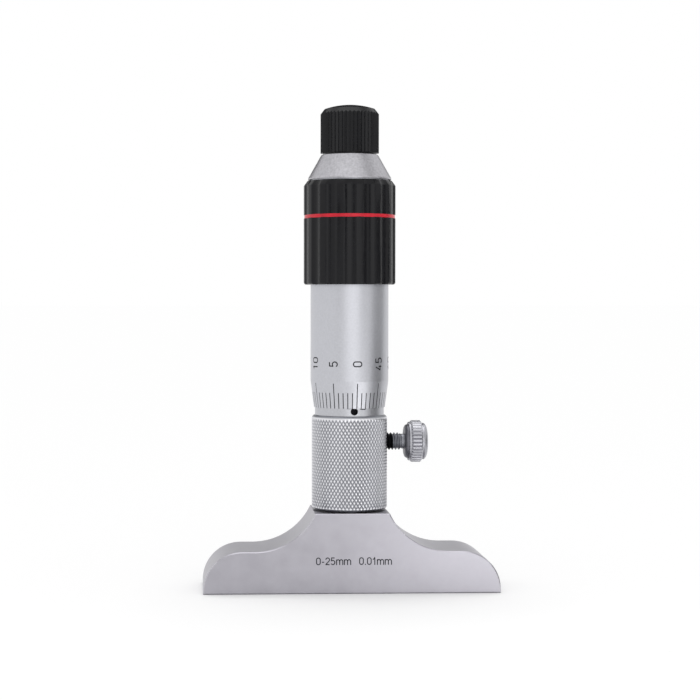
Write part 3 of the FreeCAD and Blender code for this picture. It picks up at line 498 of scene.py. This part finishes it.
def lock_screw():
    columns = 136
    angles = np.arange(columns) * 2 * math.pi / columns
    points, row_painted_shadow = [], []

    def add(radii, x):
        ys, zs = -radii * np.cos(angles), SCREW_Z + radii * np.sin(angles)
        points.extend(zip(np.full(columns, x), ys, zs))
        row_painted_shadow.append(x < THREAD_PAINTED_SHADOW_END)

    flat = np.ones(columns)
    tip_r = 0.85
    root = THREAD_R - THREAD_DEPTH
    add(flat * 0.001, SCREW_TIP)
    add(flat * (tip_r - 0.2), SCREW_TIP)
    add(flat * tip_r, SCREW_TIP + 0.2)
    add(flat * tip_r, THREAD_START)
    add(flat * root, THREAD_START)
    per_turn = 14
    count = int(round((THREAD_END - 0.15 - THREAD_START) / THREAD_PITCH * per_turn))
    for row in range(count + 1):
        x = THREAD_START + 0.02 + row * THREAD_PITCH / per_turn
        phase = (x / THREAD_PITCH + angles / (2 * math.pi)) % 1.0
        crest = np.clip((np.abs(phase - 0.5) * 2 - 0.12) / 0.76, 0.0, 1.0)
        ease = min(1.0, row / 8.0, (count - row) / 5.0 + 0.05)
        add(root + THREAD_DEPTH * ease * crest, x)
    thread_rows = len(row_painted_shadow)
    neck_r, knob = 1.6, KNOB_R
    shoulder = knob - 0.85
    ring_start = KNOB_START + 0.85
    band_start = ring_start + 0.4
    band_end = band_start + 2.4
    groove_end = band_end + 0.35
    add(flat * neck_r, THREAD_END)
    add(flat * neck_r, KNOB_START)
    for r, x in arc_points((shoulder - 0.75, KNOB_START + 0.75), 0.75, -90, 0, 7):
        add(flat * r, x)
    dark_end = len(row_painted_shadow)
    add(flat * shoulder, ring_start)
    add(flat * (knob - 0.42), ring_start)
    add(flat * (knob - 0.36), ring_start + 0.06)
    add(flat * (knob - 0.30), band_start)
    tooth = np.abs(((angles * KNOB_TEETH / (2 * math.pi)) % 1.0) - 0.5) * 2
    cut = np.clip((tooth - 0.45) / 0.40, 0.0, 1.0) * 0.34
    add(knob - 0.30 - 0.3 * cut, band_start)
    add(knob - cut, band_start + 0.3)
    add(knob - cut, band_end - 0.3)
    add(knob - 0.30 - 0.3 * cut, band_end)
    add(flat * (knob - 0.75), band_end)
    add(flat * (knob - 0.75), groove_end)
    dome = knob - 0.55
    add(flat * (dome - 0.04), groove_end)
    length = SCREW_END - groove_end
    for step in range(8):
        turn = math.radians(8 + 74 * step / 7)
        add(flat * (dome - 1.75 * (1 - math.cos(turn))), groove_end + length * math.sin(turn))
    add(flat * 1.2, SCREW_END)
    add(flat * 0.001, SCREW_END)
    rows = len(row_painted_shadow)
    faces = flip(grid_faces(rows, columns))
    slots = []
    for row in range(rows - 1):
        # Kind 1 is the painted shadow on the thread beside the barrel; kind 2 is painted shade on the
        # neck and shoulder.
        kind = 0
        if row_painted_shadow[row]:
            kind = 1
        elif row <= thread_rows:
            kind = 3
        elif row < dark_end + 1:
            kind = 2
        slots += [kind] * columns
    names = ["screw_steel", "black_steel", "shadow_steel", "thread_steel"]
    return to_mesh("lock_screw_turned", points, faces, "lock_screw", names, slots, sharp=30.0)


screw = lock_screw()
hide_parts("lock_screw")


# --- Scales: ink in the engraved marks, and numerals wrapped on the round surfaces ---

def on_round(radius, angle, height):
    a = math.radians(angle)
    return radius * math.sin(a), -radius * math.cos(a), height


def thimble_ink():
    points, faces = [], []
    slope = (THIMBLE_R - THIMBLE_EDGE_R) / BEVEL_LENGTH
    for mark in range(DIVISIONS):
        length = SHORT_MARK if mark % 5 else LONG_MARK
        angle = ZERO_ANGLE - 360.0 * mark / DIVISIONS
        turn = math.radians(angle)
        side = Vector((math.cos(turn), math.sin(turn), 0)) * MARK_INK_WIDTH / 2
        low = Vector(on_round(THIMBLE_EDGE_R - INK_SUNK, angle, THIMBLE_EDGE + 0.01))
        high = Vector(on_round(THIMBLE_EDGE_R - INK_SUNK + slope * length, angle, THIMBLE_EDGE + length))
        first = len(points)
        points += [low - side, low + side, high + side, high - side]
        faces.append((first, first + 1, first + 2, first + 3))
    return to_mesh("thimble_mark_ink", points, faces, "thimble", ["scale_ink"])


def strip(points, faces, path, width, place):
    """A ribbon along a path of (across, up) points, each edge point placed by a function."""
    dense = [Vector(path[0])]
    for start, end in zip(path, path[1:]):
        start, end = Vector(start), Vector(end)
        steps = max(1, int((end - start).length / 0.12))
        dense += [start.lerp(end, (step + 1) / steps) for step in range(steps)]
    closed = (dense[0] - dense[-1]).length < 1e-4
    last = len(dense) - 1
    first = len(points)
    for index, here in enumerate(dense):
        before = dense[index - 1] if index else (dense[last - 1] if closed else here)
        after = dense[index + 1] if index < last else (dense[1] if closed else here)
        along = (after - before).normalized()
        turn_in = (here - before).normalized() if (here - before).length > 1e-6 else along
        spread_by = min(1.5, 1.0 / max(0.4, along.dot(turn_in)))
        side = Vector((-along.y, along.x)) * width / 2 * spread_by
        for edge in (here - side, here + side):
            points.append(place(edge.x, edge.y))
    for index in range(last):
        a = first + 2 * index
        faces.append((a, a + 2, a + 3, a + 1))


def wrapped_strip(points, faces, path, width, radius):
    """A ribbon laid on a round surface about the Z axis."""
    strip(points, faces, path, width, lambda x, z: on_round(radius, math.degrees(x / radius), z))


def flat_strip(points, faces, path, width, depth):
    """A ribbon laid on a flat face that looks along -Y."""
    strip(points, faces, path, width, lambda x, z: (x, depth, z))


def oval(cx, cy, rx, ry, start, end, steps=14):
    out = []
    for step in range(steps + 1):
        a = math.radians(start + (end - start) * step / steps)
        out.append((cx + rx * math.cos(a), cy + ry * math.sin(a)))
    return out


# Strokes of each numeral in a box one wide and one high, with corners rounded in the strokes.
def numeral_strokes(digit):
    if digit == "0":
        low = oval(0.5, 0.27, 0.5, 0.27, 180, 360)
        high = oval(0.5, 0.73, 0.5, 0.27, 0, 180)
        return [low + high + low[:1]]
    if digit == "1":
        return [[(0.25, 0.80), (0.62, 1.0), (0.62, 0.0)]]
    if digit == "2":
        return [oval(0.5, 0.72, 0.5, 0.28, 175, -25) + [(0.0, 0.0), (1.0, 0.0)]]
    if digit == "3":
        upper = oval(0.48, 0.765, 0.42, 0.235, 165, -90)
        lower = oval(0.48, 0.265, 0.5, 0.265, 90, -165)
        return [upper + lower]
    if digit == "4":
        return [[(0.62, 1.0), (0.0, 0.26), (1.0, 0.26)], [(0.72, 0.52), (0.72, 0.0)]]
    if digit == "5":
        belly = oval(0.46, 0.31, 0.52, 0.31, 128, -150)
        return [[(0.92, 1.0), (0.12, 1.0), (0.06, 0.50)], belly]
    raise ValueError("no strokes for " + digit)


def numerals(name, labels, body, radius, height, width, stroke, pitch):
    """Numerals lying on their side, read upwards; labels are (text, angle, middle height)."""
    points, faces = [], []
    box_w, box_h = width - stroke, height - stroke
    for text, angle, middle in labels:
        arc = math.radians(angle) * radius
        for place, digit in enumerate(text):
            shift = (place - (len(text) - 1) / 2) * pitch
            for path in numeral_strokes(digit):
                laid = []
                for u, v in path:
                    along = middle + shift + (u - 0.5) * box_w
                    across = arc - (v - 0.5) * box_h
                    laid.append((across, along))
                wrapped_strip(points, faces, laid, stroke, radius)
    return to_mesh(name, points, faces, body, ["scale_ink"])


def sleeve_ink():
    points, faces = [], []
    radius = SLEEVE_R - INK_SUNK
    zero = math.radians(ZERO_ANGLE) * radius
    wrapped_strip(points, faces, [(zero, THIMBLE_EDGE), (zero, THIMBLE_EDGE + TRAVEL)],
                  MARK_INK_WIDTH, radius)
    for mark in range(int(TRAVEL / PITCH) + 1):
        height = THIMBLE_EDGE + mark * PITCH
        if mark % 10 == 0:
            length = SLEEVE_LONG
        else:
            length = SLEEVE_SHORT if mark % 2 else SLEEVE_MIDDLE
        wrapped_strip(points, faces, [(zero, height), (zero - length, height)], MARK_INK_WIDTH, radius)
    return to_mesh("sleeve_mark_ink", points, faces, "scale_sleeve", ["scale_ink"])


thimble_labels = [
    (str(mark), ZERO_ANGLE - 360.0 * mark / DIVISIONS, NUMERAL_Z) for mark in range(0, DIVISIONS, 5)
]
sleeve_labels = [
    (str(mark), ZERO_ANGLE + SLEEVE_NUMERAL_TURN, THIMBLE_EDGE + SLEEVE_NUMERAL_LIFT + mark)
    for mark in range(0, int(TRAVEL) + 1, 5)
]
ink_pieces = [
    thimble_ink(),
    sleeve_ink(),
    numerals("thimble_numerals", thimble_labels, "thimble", THIMBLE_R + INK_PROUD,
             NUMERAL_H, NUMERAL_W, NUMERAL_STROKE, NUMERAL_PITCH),
    numerals("sleeve_numerals", sleeve_labels, "scale_sleeve", SLEEVE_R + INK_PROUD,
             SLEEVE_NUMERAL_H, SLEEVE_NUMERAL_W, SLEEVE_NUMERAL_STROKE, SLEEVE_NUMERAL_PITCH),
]


DIGIT_WIDTH = 0.56
LETTER_WIDTHS = {"-": 0.34, ".": 0.12, " ": 0.30, "m": 0.94, "1": 0.44}


def letter_strokes(letter):
    """Strokes of a numeral or sign, as wide as its own width and one high."""
    if letter == "-":
        return [[(0.0, 0.36), (0.34, 0.36)]]
    if letter == ".":
        return [[(0.06, -0.08), (0.06, 0.10)]]
    if letter == " ":
        return []
    if letter == "m":
        first = oval(0.235, 0.46, 0.235, 0.26, 180, 0)
        second = oval(0.705, 0.46, 0.235, 0.26, 180, 0)
        return [[(0.0, -0.08), (0.0, 0.76)], first + [(0.47, -0.08)], second + [(0.94, -0.08)]]
    if letter == "1":
        return [[(0.0, 0.72), (0.22, 0.86), (0.30, 1.04), (0.30, -0.08)]]
    return [[(u * DIGIT_WIDTH, v) for u, v in path] for path in numeral_strokes(letter)]


def base_text():
    """The plain range and reading, printed on the base's front in a heavy even stroke."""
    points, faces = [], []
    tall = TEXT_HEIGHT - TEXT_STROKE
    run = sum(LETTER_WIDTHS.get(letter, DIGIT_WIDTH) + TEXT_GAP for letter in TEXT) - TEXT_GAP
    left = TEXT_MIDDLE - run * tall / 2
    for letter in TEXT:
        for path in letter_strokes(letter):
            laid = [(left + u * tall, TEXT_BOTTOM + TEXT_STROKE / 2 + v * tall) for u, v in path]
            flat_strip(points, faces, laid, TEXT_STROKE, BASE_FRONT - INK_PROUD)
        left += (LETTER_WIDTHS.get(letter, DIGIT_WIDTH) + TEXT_GAP) * tall
    return to_mesh("base_text", points, faces, "frame", ["text_ink"])


ink_pieces.append(base_text())

# --- Floor, light and camera ---

floor_shader = new_material("floor_white")[1]
floor_shader.inputs["Base Color"].default_value = (0.98, 0.98, 0.98, 1)
floor_shader.inputs["Roughness"].default_value = 0.9
floor_shader.inputs["Specular IOR Level"].default_value = 0.0
bpy.ops.mesh.primitive_plane_add(size=40.0, location=(0, 0, -0.00002))
floor = bpy.context.object
floor.name = "floor"
floor.data.materials.append(MATERIALS["floor_white"])

for card_name, card_shade in (("flag_grey", 0.28), ("flag_black", 0.03)):
    flag_shader = new_material(card_name)[1]
    flag_shader.inputs["Base Color"].default_value = (card_shade, card_shade, card_shade, 1)
    flag_shader.inputs["Roughness"].default_value = 1.0
    flag_shader.inputs["Specular IOR Level"].default_value = 0.0


def flag(name, azimuth, distance, width, low, high, material="flag_grey"):
    """A dark studio flag standing upright, facing the object; only reflections see it."""
    a = math.radians(azimuth)
    centre = Vector((distance * math.sin(a), -distance * math.cos(a), (low + high) / 2))
    bpy.ops.mesh.primitive_plane_add(size=1.0, location=centre)
    card = bpy.context.object
    card.name = name
    card.scale = (width, high - low, 1)
    card.rotation_euler = (math.pi / 2, 0, a)
    card.data.materials.append(MATERIALS[material])
    card.visible_camera = False
    card.visible_diffuse = False
    card.visible_shadow = False


flag("flag_right", 90, 0.25, 0.24, 0.045, 0.115)
flag("flag_back", 180, 0.25, 0.30, 0.121, 0.40, "flag_black")
flag("flag_high", 84, 0.20, 0.16, 0.30, 0.50)
flag("flag_low", 81, 0.10, 0.085, 0.001, 0.046)
flag("flag_grip_left", -34, 0.25, 0.05, 0.082, 0.115, "flag_black")
flag("flag_grip_right", 34, 0.25, 0.07, 0.082, 0.115, "flag_black")

world = bpy.data.worlds.new("studio")
bpy.context.scene.world = world
world.use_nodes = True
wt = world.node_tree
wt.nodes.clear()
out = wt.nodes.new("ShaderNodeOutputWorld")
mix = wt.nodes.new("ShaderNodeMixShader")
plain = wt.nodes.new("ShaderNodeBackground")
plain.inputs["Color"].default_value = (0.7, 0.7, 0.7, 1)
plain.inputs["Strength"].default_value = 1.0
white = wt.nodes.new("ShaderNodeBackground")
white.inputs["Color"].default_value = (1, 1, 1, 1)
white.inputs["Strength"].default_value = 1.0
path = wt.nodes.new("ShaderNodeLightPath")
seen = wt.nodes.new("ShaderNodeMath")
seen.operation = "MAXIMUM"
seen_all = wt.nodes.new("ShaderNodeMath")
seen_all.operation = "MAXIMUM"
wt.links.new(path.outputs["Is Camera Ray"], seen.inputs[0])
wt.links.new(path.outputs["Is Glossy Ray"], seen.inputs[1])
wt.links.new(seen.outputs[0], seen_all.inputs[0])
wt.links.new(path.outputs["Is Transmission Ray"], seen_all.inputs[1])
wt.links.new(seen_all.outputs[0], mix.inputs["Fac"])
wt.links.new(plain.outputs[0], mix.inputs[1])
wt.links.new(white.outputs[0], mix.inputs[2])
wt.links.new(mix.outputs[0], out.inputs["Surface"])


LAMP_AIM_HEIGHT = 0.045


def lamp(name, azimuth, elevation, distance, size, power):
    """A soft rectangular lamp aimed at the object's middle; azimuth runs right from the front."""
    a, e = math.radians(azimuth), math.radians(elevation)
    data = bpy.data.lights.new(name, "AREA")
    data.shape = "RECTANGLE"
    data.size, data.size_y = size
    data.energy = power
    obj = bpy.data.objects.new(name, data)
    bpy.context.scene.collection.objects.link(obj)
    aim = Vector((0, 0, LAMP_AIM_HEIGHT))
    toward = Vector((math.sin(a) * math.cos(e), -math.cos(a) * math.cos(e), math.sin(e)))
    obj.location = aim + toward * distance
    obj.rotation_euler = toward.to_track_quat("Z", "Y").to_euler()
    obj.visible_camera = False
    return obj


def sun(name, azimuth, elevation, angle, strength):
    """A far, broad source that lights the whole floor evenly and casts the soft shadow."""
    a, e = math.radians(azimuth), math.radians(elevation)
    data = bpy.data.lights.new(name, "SUN")
    data.angle = math.radians(angle)
    data.energy = strength
    obj = bpy.data.objects.new(name, data)
    bpy.context.scene.collection.objects.link(obj)
    toward = Vector((math.sin(a) * math.cos(e), -math.cos(a) * math.cos(e), math.sin(e)))
    obj.rotation_euler = toward.to_track_quat("Z", "Y").to_euler()
    return obj


sun("sky", 180, 80, 50, 1.0)
lamp("front", 6, 8, 0.34, (0.24, 0.30), 0.12)
lamp("low", 30, -26.5, 0.098, (0.06, 0.006), 0.0095)

camera_data = bpy.data.cameras.new("camera")
camera = bpy.data.objects.new("camera", camera_data)
bpy.context.scene.collection.objects.link(camera)
SIGHT_ANGLE = math.radians(4.9)
SIGHT_DOWN = 1.6
CAMERA_DISTANCE = 0.384
CAMERA_HEIGHT = 0.0619
camera.location = (
    -CAMERA_DISTANCE * math.sin(SIGHT_ANGLE), -CAMERA_DISTANCE * math.cos(SIGHT_ANGLE), CAMERA_HEIGHT)
camera.rotation_euler = (math.radians(90 - SIGHT_DOWN), 0, -SIGHT_ANGLE / 2)
camera_data.lens = 91.9
camera_data.sensor_width = 36.0
camera_data.shift_x = 0.110
camera_data.clip_start = 0.01
camera_data.clip_end = 50.0
bpy.context.scene.camera = camera
bpy.context.scene.view_settings.view_transform = "Standard"
